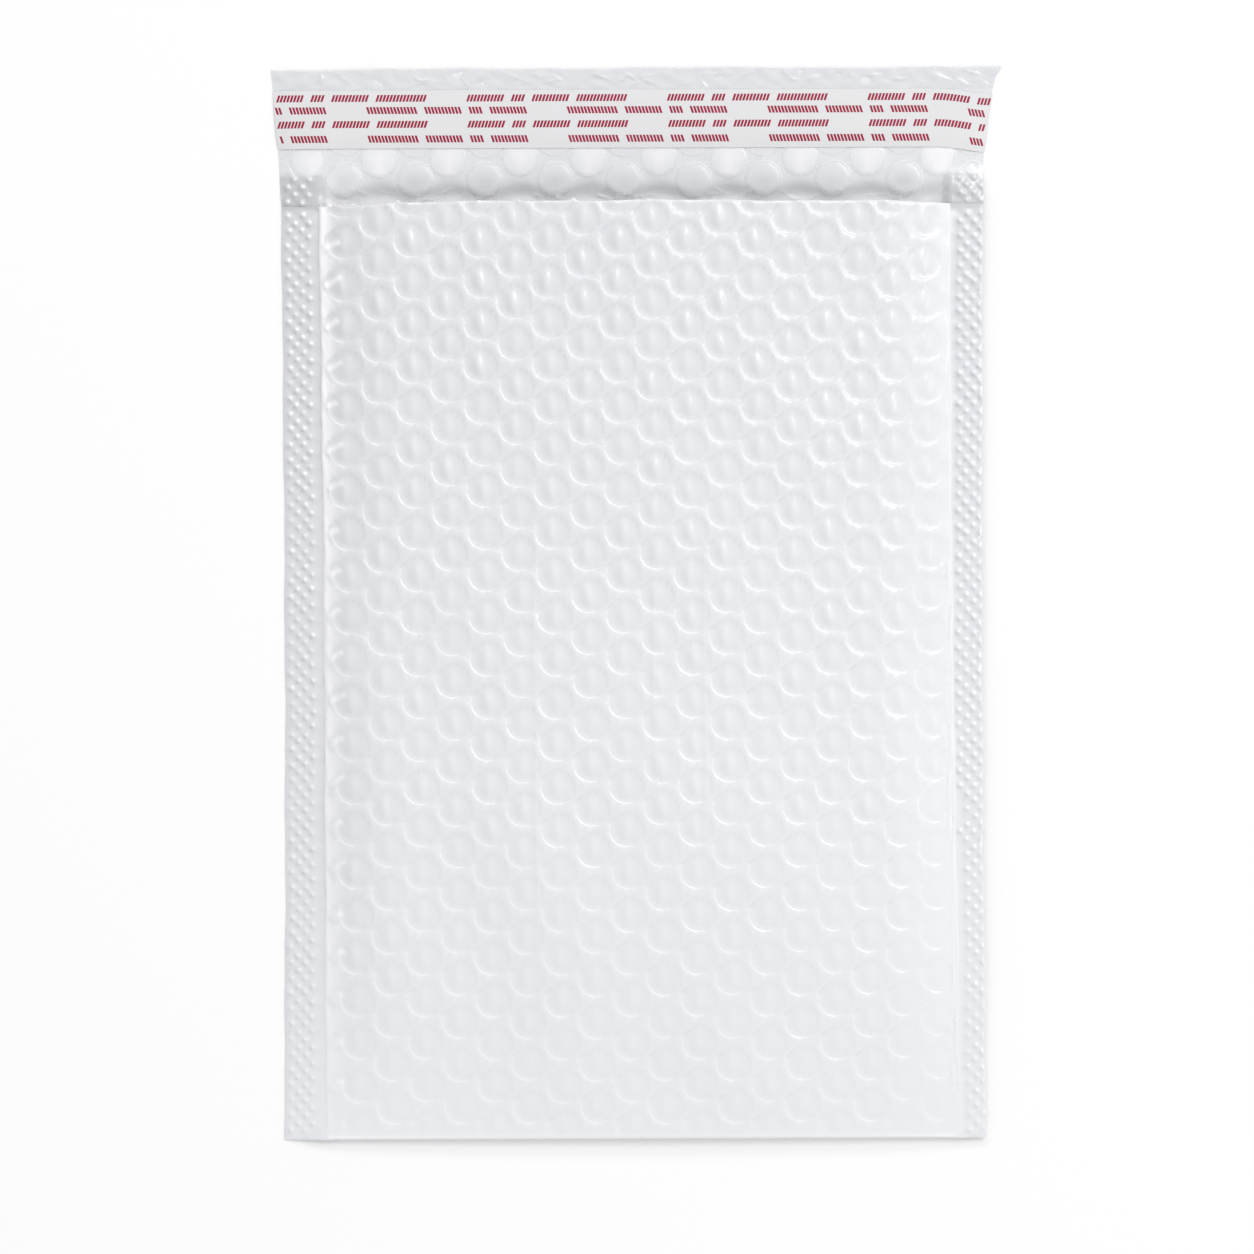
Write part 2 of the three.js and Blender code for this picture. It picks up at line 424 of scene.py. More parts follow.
# 1 as far as the welding bar reached past the mouth, to a ragged end
def barReach(x, y):
    ragged = y - mouthY + 0.5 * ripple(x, y, 4.0, sealDots["seed"] + 12)
    return 1 - smooth(sealDots["tail"] - sealDots["tailFray"], sealDots["tail"], ragged)


def weldTail(x, y):
    return smooth(0.0, 1.2, -fromPanelEdge(x, y)) * barReach(x, y)


# How finely the sheets are cut into triangles
fineness = {
    "sideRows": 108,
    "flapRows": 30,
    "bottomColumns": 82,
    "mouthColumns": 420,
    "freeEdgeColumns": 140,
    "weldRows": 190,
    "linerColumns": 150,
    "linerRows": 14,
    "adhesiveColumns": 110,
    "adhesiveRows": 9,
    "frontGap": 0.13,  # no two loose points are nearer than this
    "backGap": 0.35,
    "liningBackGap": 0.2,
    "liningFrontGap": 0.3,
}
sideRows = np.linspace(bottomY, mouthY, fineness["sideRows"])
flapRows = np.linspace(mouthY, flapY, fineness["flapRows"])
bottomColumns = np.linspace(0.0, 1.0, fineness["bottomColumns"])
sealLow = np.concatenate([dotCentres(s, bottomY + 2.6, mouthY - 0.6) for s in (-1, 1)])
sealTail = np.concatenate([dotCentres(s, mouthY + 0.9, mouthY + sealDots["tail"]) for s in (-1, 1)])

# Outer film
film = {
    "seed": 4,
    "discRadius": 4.8,
    "discMargin": 3.0,  # no centre nearer to a weld than this
    "lipWidth": 0.5,  # a crisp lip round each bubble
    "lipDepth": (0.13, 0.24),  # at the bottom, at the mouth
    "lipSpread": (0.8, 1.15),  # from bubble to bubble
    "bowlWidth": 3.2,  # and a soft hollow inside it
    "bowlDepth": (0.03, 0.34),
    "bowlSpread": (0.75, 1.2),
    "lipSide": 218.0,  # degrees, the middle of the side where the lip is sharp
    "lipFaint": 0.4,  # share of it on the other side
    "lipFlank": 0.6,  # it is sharpest this far round, as a cosine
    "ridgeHeight": (0.12, 0.86),  # an upright crest where the film bulges out again
    "ridgeSpread": (0.5, 1.25),
    "ridgeWidth": (1.9, 1.1),  # to the left of the crest, to the right
    "ridgeLength": 4.4,
    "ridgePlace": (-0.25, 0.4),  # from the middle of the bubble
    "ridgeShift": 0.3,
    "ridgeTurn": (0.05, 0.12),  # how far it leans, and how unevenly
    "tight": (6.0, 26.0),  # from the right weld, where the film is drawn tight up to and slack from
    "tightTurn": 14.0,  # degrees that the sharp side comes round there
    "tightLip": 0.4,  # and what the lip and the hollow lose
    "tightBowl": 0.65,
    "webFrom": (1.7, -4.6),  # stretched lines that run from one bubble to the next, from its middle
    "webTo": (5.0, -6.1),
    "webWidth": 0.3,
    "webWhite": (0.3, 0.22, 0.7),  # usual, spread, most
    "webFade": (8.0, 36.0),  # from the right weld
    "backDepth": 0.22,
    "backDisc": (4.4, 5.6),  # from the middle of a bubble, the rim of its print on the back film
    "flatRow": (1.5, 2.5),  # from the mouth, middle and half width: bubbles drawn flat into the crease
    "pressedRow": 13.35,  # from the mouth: bubbles pressed flat on the film beside the liner
    "domeRow": 7.4,  # and a row of clear ones, with painted shade where they show the crease
    "domeShade": (0.3, 0.85),
    "valleyShade": 0.42,  # painted shade in the crease, between those
    "valleyPlace": (4.4, 1.9),  # its middle and half width, from the mouth
    "wave": 0.16,
    "beadHeight": 0.45,  # along the left weld
    "beadWidth": 0.8,
    "bandWidth": (1.2, 3.2),  # film white from the heat, with a painted highlight, along the left weld, at the folds and between them
    "firstColumn": (6.8, 3.0),  # of bubbles beside that weld: middle and half width
    "pleatStart": 1.6,
    "pleatLength": 5.4,
    "pleatSpread": (0.7, 1.2),
    "pleatSlope": (0.4, 0.7),
    # how strongly each fold stands up, and how strongly its painted highlight shows
    "pleatStrength": (1.0, 1.3),
    "pleatHeight": 0.45,
    "rightBandPaintedLight": 0.5,  # painted light along the right weld
    "rightBandFade": (1.0, 7.0),
    "wrinkleHeight": 0.12,  # along the right weld
    "wrinklePitch": 1.5,
    "creases": [(-29.0, 34.0, -99.0), (18.8, 24.0, -74.0), (4.5, 20.0, -60.0)],  # x, from y, to y
    "creaseHeight": 0.11,
    "creaseWidth": 0.4,
    "creaseEnd": 20.0,  # the length over which one fades out
    "mouthLip": 0.35,  # the cut edge at the mouth turns down a little
    "mouthTags": [(-67.2, 0.9, 0.8), (-33.1, 0.7, 0.6), (-17.4, 1.0, 0.7)],  # x, height, half width
}
frontCentres = lattice("front", film["seed"])
frontCentres = frontCentres[fromPanelEdge(*frontCentres.T) > film["discMargin"]]
backCentres = lattice("back", film["seed"] + 1)
flatMiddle, flatHalf = film["flatRow"]
inCrease = np.abs(backCentres[:, 1] - mouthY - flatMiddle) < flatHalf


def frontRelief(x, y):
    rng = np.random.RandomState(film["seed"])
    count = len(frontCentres)
    share = pocketShare(frontCentres[:, 1])
    lip = mix(*film["lipDepth"], share) * rng.uniform(*film["lipSpread"], count)
    bowl = mix(*film["bowlDepth"], share) * rng.uniform(*film["bowlSpread"], count)
    ridge = mix(*film["ridgeHeight"], share) * rng.uniform(*film["ridgeSpread"], count)
    shift = film["ridgePlace"][0] + rng.normal(0.0, film["ridgeShift"], count)
    turn = rng.normal(*film["ridgeTurn"], count)
    numbers, dx, dy = nearest(frontCentres, x, y)
    away = np.hypot(dx, dy)
    far = away - film["discRadius"]
    tight = 1 - smooth(*film["tight"], panelEdge(1, y) - x)
    side = np.radians(film["lipSide"] - film["tightTurn"] * tight)
    turned = (dx * np.cos(side) + dy * np.sin(side)) / np.maximum(away, 0.01)
    inLip = 1 - smooth(-film["lipWidth"] / 2, film["lipWidth"] / 2, far)
    sharp = smooth(-0.25, 0.4, turned) * smooth(1.5, 4.0, away)
    inLip = inLip * mix(film["lipFaint"], 1 / np.maximum(turned, film["lipFlank"]), sharp)
    inLip = inLip * (1 - film["tightLip"] * tight)
    inBowl = 1 - smooth(-film["bowlWidth"] / 2, film["bowlWidth"] / 2, far)
    inBowl = inBowl * (1 - film["tightBowl"] * tight)
    across = dx - shift[numbers] - turn[numbers] * dy
    crown = bell(across / np.where(across < 0, *film["ridgeWidth"]))
    along = (dy - film["ridgePlace"][1]) / film["ridgeLength"]
    crown = crown * np.clip(1 - along ** 2, 0.0, 1.0) ** 1.5
    relief = ridge[numbers] * crown * inBowl - lip[numbers] * inLip - bowl[numbers] * inBowl
    return relief * smooth(0.3, 1.6, fromPanelEdge(x, y)) * smooth(0.6, 3.0, y - bottomY)


# How strongly each point lies on one of the stretched lines between the bubbles
def webs(x, y):
    rng = np.random.RandomState(film["seed"] + 12)
    usual, spread, most = film["webWhite"]
    strength = np.clip(rng.normal(usual, spread, len(frontCentres)), 0.0, most)
    strength = strength * smooth(0.1, 0.6, pocketShare(frontCentres[:, 1]))
    start, end = np.array(film["webFrom"]), np.array(film["webTo"])
    way = (end - start) / np.hypot(*(end - start))
    middles = frontCentres + (start + end) / 2
    numbers, dx, dy = nearest(middles, x, y)
    along = dx * way[0] + dy * way[1]
    across = dy * way[0] - dx * way[1]
    half = np.hypot(*(end - start)) / 2
    shape = bell(across / film["webWidth"])
    shape = shape * (1 - smooth(half - 0.5, half + 0.5, np.abs(along)))
    return strength[numbers] * shape * smooth(*film["webFade"], panelEdge(1, y) - x)


columnMiddle, columnHalf = film["firstColumn"]
fromLeft = frontCentres[:, 0] - panelEdge(-1, frontCentres[:, 1])
firstColumn = frontCentres[np.abs(fromLeft - columnMiddle) < columnHalf]


# Short folds in the bubbles beside the left weld, and how strongly each point lies on one
def pleats(x, y):
    total = np.zeros_like(x)
    rng = np.random.RandomState(film["seed"] + 7)
    for cx, cy in firstColumn:
        length = film["pleatLength"] * rng.uniform(*film["pleatSpread"])
        strength = rng.uniform(*film["pleatStrength"]) * mix(0.6, 1.0, pocketShare(cy))
        slope = rng.uniform(*film["pleatSlope"])
        startX = float(panelEdge(-1, cy)) + film["pleatStart"]
        startY = cy - 0.4 + rng.normal(0.0, 0.6)
        along = ((x - startX) + slope * (y - startY)) / math.hypot(1, slope)
        across = ((y - startY) - slope * (x - startX)) / math.hypot(1, slope)
        shape = bell(across / mix(1.0, 0.75, np.clip(along / length, 0.0, 1.0)))
        shape = shape * smooth(-0.5, 0.5, along) * (1 - smooth(0.7 * length, length, along))
        total = total + strength * shape
    return total


# The strip beside the left weld, white from the heat with a painted highlight: pinched at each fold, wide
# between the bubbles
def leftBand(x, y):
    inward = x - panelEdge(-1, y)
    apart = np.min(np.abs(y[:, None] - firstColumn[None, :, 1]), 1)
    wide = smooth(1.0, 5.0, apart)
    width = mix(*film["bandWidth"], wide) + 0.35 * ripple(x, y, 7.0, film["seed"] + 5)
    start = mix(-0.4, 0.1, wide) + 0.2 * ripple(x, y, 5.0, film["seed"] + 6)
    _, dx, dy = nearest(frontCentres, x, y)
    clear = smooth(-0.4, 0.4, np.hypot(dx, dy) - film["discRadius"])
    reach = smooth(start, start + 0.3, inward) * (1 - smooth(width, width + 0.5, inward))
    return reach * clear * smooth(6.0, 30.0, y - bottomY)


# Beside the right weld the film is painted paler towards the mouth, as painted light
def rightBand(x, y):
    inward = panelEdge(1, y) - x
    patchy = 0.75 + 0.25 * ripple(x, y, 8.0, film["seed"] + 11)
    white = film["rightBandPaintedLight"] * patchy * smooth(-0.1, 0.3, inward)
    return white * (1 - smooth(*film["rightBandFade"], inward)) * pocketShare(y) ** 2


def bead(x, y):
    inward = x - panelEdge(-1, y)
    uneven = 1 + 0.35 * ripple(x, y, 6.0, film["seed"] + 8)
    place = 0.8 + 0.3 * ripple(x, y, 8.0, film["seed"] + 10)
    shape = bell((inward - place) / film["beadWidth"]) * smooth(0.0, 0.4, inward)
    return film["beadHeight"] * uneven * shape * mix(0.2, 1.0, pocketShare(y))


# Fine upright wrinkles along the right weld
def sideWrinkles(x, y):
    inward = panelEdge(1, y) - x
    phase = inward * math.tau / film["wrinklePitch"] + 1.7 * np.sin(y / 9.0) + 1.1 * np.sin(y / 3.7)
    patchy = 0.5 + 0.5 * ripple(x, y, 16.0, film["seed"] + 9)
    fading = smooth(0.2, 1.0, inward) * (1 - smooth(1.5, 5.0, inward))
    return film["wrinkleHeight"] * patchy * np.sin(phase) * fading


def creaseLine(number, y):
    x, top, _ = film["creases"][number]
    return x + 0.25 * np.sin(y / 7.0 + number) + 0.005 * (top - y)


def creases(x, y):
    total = np.zeros_like(x)
    for number, (_, top, low) in enumerate(film["creases"]):
        shape = bell((x - creaseLine(number, y)) / film["creaseWidth"])
        end = film["creaseEnd"]
        shape = shape * smooth(low, low + end, y) * (1 - smooth(top - end, top, y))
        total = total + film["creaseHeight"] * shape
    return total


def frontHeight(x, y):
    z = frontFace(x, y) + frontRelief(x, y) + creases(x, y) + bead(x, y) + sideWrinkles(x, y)
    z = z + film["pleatHeight"] * pleats(x, y)
    inPanel = smooth(2.0, 10.0, fromPanelEdge(x, y)) * smooth(2.0, 16.0, y - bottomY)
    z = z + film["wave"] * ripple(x, y, 46.0, film["seed"] + 2) * inPanel
    z = z - film["mouthLip"] * (1 - smooth(-0.1, 0.7, mouthLine(x) - y)) * inPanel
    inSeal = smooth(0.0, 0.5, -fromPanelEdge(x, y)) * edgeRoll(x, y)
    return z + dotBumps(sealLow, x, y) * inSeal


def backHeight(x, y):
    numbers, dx, dy = nearest(backCentres, x, y)
    onDisc = (1 - smooth(*film["backDisc"], np.hypot(dx, dy))) * (1 - inCrease[numbers])
    shown = smooth(0.5, 4.5, fromPanelEdge(x, y)) * smooth(1.0, 8.0, y - bottomY)
    shown = np.where(y > mouthY, shown * (1 - 0.6 * smooth(0.0, 0.6, flapShare(y))), shown)
    z = backFace(x, y) + film["backDepth"] * onDisc * shown
    z = z + 0.8 * dotBumps(sealTail, x, y) * weldTail(x, y) * (y > mouthY)
    inSeal = smooth(0.0, 0.5, -fromPanelEdge(x, y)) * edgeRoll(x, y) * (y < mouthY)
    return z + 0.7 * dotBumps(sealLow, x, y) * inSeal


def sideLine(sign, rows, inset=0.0):
    return np.stack([sideEdge(sign, rows) - sign * inset, rows], 1)


def panelLine(sign, rows, inset=0.0):
    return np.stack([panelEdge(sign, rows) - sign * inset, rows], 1)


# Lines at these insets from the left edge and from the right one
def alongEdges(line, rows, insets):
    return [line(s, rows, d) for s in (-1, 1) for d in insets]


# A row of points from the left edge to the right one
def crossRow(edge, y, columns=bottomColumns, shift=0.0):
    return np.stack([mix(edge(-1, y), edge(1, y), columns), np.full(len(columns), y + shift)], 1)


# Along the foot, up the right edge, back along the top and down the left edge
def outlineOf(edge, foot, climb, top, columns=bottomColumns):
    return np.concatenate([crossRow(edge, foot, columns), climb(1), top, climb(-1)[::-1]])


# The cut edge at the mouth: a little uneven, with small tags that the knife left standing
def mouthLine(x):
    y = 0.13 * np.sin(x / 9.0) + 0.09 * np.sin(x / 3.7 + 1.0) - 0.6 * smooth(-60.0, -86.0, x)
    for place, height, half in film["mouthTags"]:
        y = y + height * bell((x - place) / half)
    return mouthY + y * smooth(0.0, 9.0, fromCut(x, mouthY))


# The free edge of the flap, from right to left: cut in slow waves
def freeEdge():
    left, right = float(sideEdge(-1, flapY)), float(sideEdge(1, flapY))
    x = np.linspace(right, left, fineness["freeEdgeColumns"])
    y = flapY + 0.16 * np.sin(x / 13.0) + 0.1 * np.sin(x / 4.1 + 1.0) - 0.25 * smooth(-20, -100, x)
    return np.stack([x, y], 1)


def inside(points, low, high, margin):
    x, y = points[:, 0], points[:, 1]
    keep = (fromCut(x, y) > margin) & (y > low) & (y < high)
    return points[keep]


def frontFilm():
    mouthX = np.linspace(float(sideEdge(1, mouthY)), float(sideEdge(-1, mouthY)), fineness["mouthColumns"])
    mouth = np.stack([mouthX, mouthLine(mouthX)], 1)
    loop = outlineOf(sideEdge, bottomY, lambda s: sideLine(s, sideRows)[1:-1], mouth)
    weldRows = np.linspace(bottomY + 1.0, mouthY - 1.0, fineness["weldRows"])
    lines = alongEdges(panelLine, weldRows, (0.0, 0.12, 0.24, 0.38))
    # more points where the lip is sharp
    sharpAngles, faintAngles = np.linspace(-98, 98, 15), np.linspace(98, 262, 8)[1:-1]
    lipAngles = film["lipSide"] + np.concatenate([sharpAngles, faintAngles])
    rimRadii = [film["discRadius"] + d for d in (-0.75, -0.25, -0.08, 0.08, 0.25, 0.75)]
    rimRings = rings(frontCentres, rimRadii, [12, lipAngles, lipAngles, lipAngles, lipAngles, 16])
    crest = gridPoints((-2.6, -1.5, -0.7, -0.1, 0.5, 1.1, 2.3), np.arange(-2.9, 3.0, 1.45))
    crest = crest[np.hypot(crest[:, 0], crest[:, 1]) < film["discRadius"] - 1.1]
    webRow = np.linspace(0.0, 1.0, 3)[:, None]
    webLine = mix(np.array(film["webFrom"]), np.array(film["webTo"]), webRow)
    webLines = [around(frontCentres, webLine + (0.0, d)) for d in (0.0, 0.4, -0.4)]
    discs = np.concatenate([rimRings, around(frontCentres, crest)] + webLines)
    discs = discs[discs[:, 1] > bottomY + 2.7]
    pleated = around(firstColumn, gridPoints(np.arange(-5.3, -0.2, 0.5), np.arange(-2.2, 3.1, 0.5)))
    rims = alongEdges(panelLine, np.arange(bottomY + 0.8, mouthY - 0.6, 1.2), (0.65, 1.0, 1.4, 1.9, 2.6))
    folds = [crossRow(sideEdge, bottomY, shift=d) for d in (0.08, 0.22, 0.36, 0.55, 0.8, 1.3, 2.2)]
    lips = [(mouth - (0.0, d))[::3] for d in (0.2, 0.4, 0.65, 1.0)]
    cuts = alongEdges(sideLine, sideRows[1:-1], (0.08, 0.36))
    creaseRows = [np.stack([creaseLine(n, rows) + d, rows], 1)
                  for n, (_, top, low) in enumerate(film["creases"])
                  for rows in [np.arange(low, top, 1.6)]
                  for d in (-0.4, 0.0, 0.4)]
    dots = inside(rings(sealLow, (0.4, 0.8, 1.25), (6, 8, 8)), bottomY + 1.0, mouthY, 0.6)
    ranked = lips + folds + cuts + rims + [dots, pleated, discs] + creaseRows
    loose = inside(thinOut(ranked, fineness["frontGap"]), bottomY + 0.06, mouthY + 0.6, 0.06)
    x, y = loose[:, 0], loose[:, 1]
    keep = (np.abs(fromPanelEdge(x, y) - 0.19) > 0.3) & (y < mouthLine(x) - 0.15)
    return cutSheet(loop, lines, loose[keep], frontHeight)


def backFilm():
    def climb(sign):
        return np.concatenate([sideLine(sign, sideRows)[1:], sideLine(sign, flapRows)[1:-1]])

    loop = outlineOf(sideEdge, bottomY, climb, freeEdge())
    innerRows = sideRows[1:-1]
    lines = alongEdges(panelLine, innerRows, (0.0,))
    rims = alongEdges(panelLine, np.arange(bottomY + 0.6, mouthY + 30.0, 2.6), (0.5, 1.4, 2.6, 4.2, 6.0))
    folds = [crossRow(sideEdge, bottomY, shift=d) for d in (0.12, 0.35, 0.8, 1.6, 2.8, 4.4, 6.0)]
    cuts = alongEdges(sideLine, innerRows, (0.36,))
    discs = rings(backCentres, (4.3, 5.5), (8, 8))
    dots = rings(sealLow, (1.0,), (6,))
    tails = rings(sealTail, (0.45, 0.85, 1.3), (7, 9, 9))
    crease = gridPoints(np.arange(-92, 94, 1.2), np.arange(mouthY + 0.5, mouthY + 10.0, 1.0))
    ranked = [tails] + cuts + folds + rims + [dots, discs, crease]
    loose = inside(thinOut(ranked, fineness["backGap"]), bottomY + 0.1, flapY - 0.9, 0.3)
    x, y = loose[:, 0], loose[:, 1]
    keep = (np.abs(fromPanelEdge(x, y)) > 0.25) | (y > mouthY)
    return cutSheet(loop, lines, loose[keep], backHeight, faceDown=True)


frontSheet = frontFilm()
backSheet = backFilm()
outerFilm = sew("outerFilm", [frontSheet, backSheet])
spots = pointsOf(outerFilm)
at = spotX, spotY = spots[:, 0], spots[:, 1]
past = spotY - mouthY
fromWeld = fromPanelEdge(*at)
onFront = spots[:, 2] > backFace(*at) + 0.5
onBack = 1 - onFront
inSeal = smooth(0.0, 0.4, -fromWeld) * (1 - smooth(sealDots["tail"] - 1.0, sealDots["tail"], past))

# white and painted light: along the left weld, film white from the heat with a painted highlight, and
# painted highlights on its folds; painted light along the right weld; the lines between bubbles; painted
# highlights on the dots; painted light along the cut edges and the fold
heatedAndHighlit = np.maximum(leftBand(*at), pleats(*at)) * mix(0.3, 1.0, pocketShare(spotY))
cutEdge = np.minimum(fromCut(*at) - 0.1, (spotY - bottomY) / 2)
frontWhiteAndLight = np.max([
    heatedAndHighlit,
    rightBand(*at),
    webs(*at) * (fromWeld > 3.0),
    0.75 * inSeal * dotHighlights(sealLow, *at),
    0.9 * (1 - smooth(0.3, 0.8, cutEdge)) * (spotY < mouthY),
], 0) * onFront
# and on the inside: painted highlights on the dots of the weld's tail, painted light on the floor of the
# mouth against its shade, and the pressed bubbles
tailDotHighlights = dotHighlights(sealTail, *at) * weldTail(*at) * (spotY > mouthY)
mouthPaintedLight = (1 - smooth(1.2, 4.0, past)) * (fromWeld > 2.0) * onBack * (spotY > mouthY - 9.0)
bubble, bubbleX, bubbleY = nearest(backCentres, *at)
fromMouth = backCentres[bubble, 1] - mouthY
inRow = np.abs(fromMouth - film["pressedRow"]) < 2.0
onDisc = inRow * (1 - smooth(3.7, 4.7, np.hypot(bubbleX, bubbleY)))
innerWhiteAndLight = 0.9 * np.max([tailDotHighlights, mouthPaintedLight, onDisc], 0)

# painted shade: at and beside the weld's tail, partly the weld's own grey, in the crease, and under the
# clear bubbles beside it
besideTail = (1 - smooth(0.0, 1.2, fromWeld - 1.4)) * smooth(-1.6, -1.0, past)
besideTail = besideTail * barReach(*at) * onBack
between = 0.5 - 0.5 * creaseTurn(spotX)
valleyMiddle, valleyHalf = film["valleyPlace"]
valley = film["valleyShade"] * between * bell((past - valleyMiddle) / valleyHalf)
shade = np.random.RandomState(film["seed"] + 13).uniform(*film["domeShade"], len(backCentres))
under = shade[bubble] * np.exp(-((bubbleX / 3.3) ** 2) - ((bubbleY + 0.8) / 2.3) ** 2)
under = under * (np.abs(fromMouth - film["domeRow"]) < 2.0)
amid = smooth(3.0, 6.0, fromWeld) * onBack
markPoints(outerFilm, "seal", inSeal)
# the inner ply on the flap, painted paler against its shade
markPoints(outerFilm, "inner", smooth(-12.0, -4.0, past) * onBack * (1 - inSeal))
markPoints(outerFilm, "tail", np.max([besideTail, valley * amid, under * amid], 0))
markPoints(outerFilm, "whiteAndPaintedLight", np.clip(np.maximum(frontWhiteAndLight, innerWhiteAndLight), 0.0, 1.0))
print("outer film:", len(frontSheet[1]), "front and", len(backSheet[1]), "back triangles")

# Bubble lining: the formed film of the bubbles, on the base film that is laminated to the web
lining = {
    "seed": 11,
    "alongBase": (-5, 0, 8, 60),  # from the mouth
    "base": (0.45, 0.4, 0.25, 0.2),
    "bubbleRadius": 5.05,
    "bubbleHeight": 3.3,
    "plainRings": ((3.0, 4.4, 5.05), (8, 12, 12)),  # radii and points of a bubble inside the pocket
    "alongFlap": (-400, -6, -4, -1, 4, 7, 13, 18, 60),  # from the mouth
    "flapHeights": (3.3, 3.3, 1.6, 0.0, 0.0, 0.8, 0.5, 0.0, 0.0),  # pressed flat towards the free edge
    "linerPress": (15.2, 16.5),  # from the mouth: flat from here on
    "wrinkle": 0.12,
    "bandCrinkles": (70, 34.4, 38.9),  # short sharp ones past the liner: how many, from the mouth from, to
    "creaseCrinkles": (60, 0.6, 4.6),  # and in the crease
    "crinkleWidth": 0.4,
    "crinkleLength": (1.2, 3.5),
    "crinkleTurn": 0.5,  # radians off the crossways line
    "crinkleSpread": (0.4, 1.0),
    "crinkleHeight": 0.3,
}


# The two linings come together at the seals and the fold
def closing(x, y):
    return smooth(0.0, 2.5, fromPanelEdge(x, y)) * smooth(0.0, 2.5, y - bottomY - 0.8)


# Bubbles of the given heights, no higher than half of the room in the pocket
def bubbleDome(centres, x, y, heights):
    numbers, dx, dy = nearest(centres, x, y)
    share = np.clip(np.hypot(dx, dy) / lining["bubbleRadius"], 0.0, 1.0)
    dome = heights[numbers] * np.clip(1 - share ** 3.2, 0.0, 1.0) ** 0.75
    room = (frontFace(x, y) - backFace(x, y)) / 2 - lining["base"][0] - 0.2
    return np.where(y < mouthY, np.minimum(dome, np.maximum(room, 0.0)), dome)


def crinkles(x, y, count, low, high):
    rng = np.random.RandomState(lining["seed"] + 6)
    total = np.zeros_like(x)
    near = (y > mouthY + low - 1.5) & (y < mouthY + high + 2.0)
    for _ in range(count):
        placeX, placeY = rng.uniform(-103, 104), mouthY + rng.uniform(low, high)
        angle, length = rng.normal(0.0, lining["crinkleTurn"]), rng.uniform(*lining["crinkleLength"])
        offX, offY = x[near] - placeX, y[near] - placeY
        along = offX * math.cos(angle) + offY * math.sin(angle)
        across = offY * math.cos(angle) - offX * math.sin(angle)
        across = across / lining["crinkleWidth"]
        height = rng.uniform(*lining["crinkleSpread"])
        total[near] += height * np.exp(-((along / length) ** 2) - across ** 2)
    return total


def liningBase(x, y):
    base = np.interp(y - mouthY, lining["alongBase"], lining["base"]) * (1 - 0.5 * weldTail(x, y))
    return np.where(y > mouthY, base * mix(0.3, 1.0, smooth(0.0, 3.0, fromCut(x, y))), base)


def liningBackHeight(x, y):
    heights = np.interp(backCentres[:, 1] - mouthY, lining["alongFlap"], lining["flapHeights"])
    inPocket = smooth(0.3, 5.0, fromPanelEdge(x, y))
    tail = weldTail(x, y)
    onFlap = (1 - tail) * smooth(0.2, 3.0, fromCut(x, y))
    spread = np.where(y > mouthY, onFlap, inPocket) * (1 - smooth(*lining["linerPress"], y - mouthY))
    z = backFace(x, y) + liningBase(x, y) + bubbleDome(backCentres, x, y, heights) * spread
    creased = crinkles(x, y, *lining["creaseCrinkles"]) * smooth(2.0, 5.0, fromPanelEdge(x, y))
    z = z + lining["crinkleHeight"] * (crinkles(x, y, *lining["bandCrinkles"]) + 1.2 * creased)
    z = z + lining["wrinkle"] * ripple(x, y, 5.5, lining["seed"]) * smooth(32.5, 35, y - mouthY)
    z = np.maximum(z + dotBumps(sealTail, x, y) * tail, backFace(x, y) + 0.04)
    return mix(sealLevel(y) - droop(x, y), z, np.maximum(closing(x, y), smooth(-0.4, 0.5, y - mouthY)))


def liningFrontHeight(x, y):
    spread = smooth(0.3, 5.0, fromPanelEdge(x, y))
    heights = np.full(len(frontCentres), lining["bubbleHeight"])
    z = frontFace(x, y) - lining["base"][0] - bubbleDome(frontCentres, x, y, heights) * spread
    return mix(sealLevel(y), z, closing(x, y))


tailFoot = mouthY - 1.3  # at the seals the lining of the flap starts under the front film
liningRows = np.linspace(bottomY + 0.8, tailFoot, fineness["sideRows"])
liningFlapRows = np.concatenate([[tailFoot], flapRows])
liningTop = mouthY - 0.8  # the front lining ends just inside the mouth


def liningBack():
    def climb(sign):
        return np.concatenate([panelLine(sign, liningRows)[1:], sideLine(sign, liningFlapRows)])

    foot = liningRows[0]
    loop = outlineOf(panelEdge, foot, climb, freeEdge()[1:-1])
    onFlap = backCentres[:, 1] > mouthY + 4
    radii = (1.2, 2.4, 3.4, 4.1, 4.55, 4.82, 5.05, 5.28, 5.6)
    fine = rings(backCentres[onFlap], radii, (6, 12, 20, 30, 48, 48, 48, 48, 48))
    plain = rings(backCentres[~onFlap & ~inCrease], *lining["plainRings"])
    dots = rings(sealTail, (0.55, 1.05), (8, 8))
    band = gridPoints(np.arange(-104, 106, 0.5), np.arange(mouthY + 32.4, flapY - 0.5, 0.4))
    crease = gridPoints(np.arange(-92, 94, 0.5), np.arange(mouthY - 0.6, mouthY + 6.5, 0.4))
    _, awayX, awayY = nearest(backCentres[~inCrease], crease[:, 0], crease[:, 1])
    crease = crease[np.hypot(awayX, awayY) > lining["bubbleRadius"] + 0.9]
    loose = thinOut([dots, fine, plain, band, crease], fineness["liningBackGap"])
    loose = inside(loose, foot + 0.3, flapY - 0.9, 0.3)
    x, y = loose[:, 0], loose[:, 1]
    keep = (fromPanelEdge(x, y) > 0.3) | (y > tailFoot + 0.3)
    return cutSheet(loop, [], loose[keep], liningBackHeight)


def liningFront():
    foot = liningRows[0]
    top = crossRow(panelEdge, liningTop)[::-1]
    loop = outlineOf(panelEdge, foot, lambda s: panelLine(s, liningRows)[1:-1], top)
    loose = thinOut([rings(frontCentres, *lining["plainRings"])], fineness["liningFrontGap"])
    x, y = loose[:, 0], loose[:, 1]
    keep = (y > foot + 0.3) & (y < liningTop - 0.3) & (fromPanelEdge(x, y) > 0.3)
    return cutSheet(loop, [], loose[keep], liningFrontHeight, faceDown=True)


